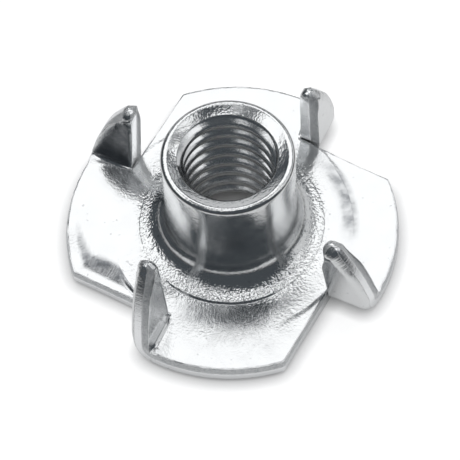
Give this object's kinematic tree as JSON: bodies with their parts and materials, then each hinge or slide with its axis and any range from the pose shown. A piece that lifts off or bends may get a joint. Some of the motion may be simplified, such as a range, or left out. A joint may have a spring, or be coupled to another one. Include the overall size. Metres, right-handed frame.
{
  "type": "tee nut",
  "caption": "Pronged tee nut pressed from plated steel sheet: a threaded barrel flares into a lobed round flange with upturned prongs that bite into wood.",
  "frame": {"origin": "on the barrel's axis, in the plane of the flange's flat underside", "axes": "+Z along the barrel's axis, from the flange to the barrel's open end; +X out along the middle of one lobe; the prongs follow the lobes anticlockwise seen from +Z"},
  "size_m": [0.019, 0.019, 0.0086],
  "materials": {
    "zinc_steel": "bright zinc plating over pressed sheet steel, finely rippled, matt on the sheared edges"
  },
  "bodies": {
    "root": {"tee_nut": "zinc_steel"}
  },
  "joints": []
}
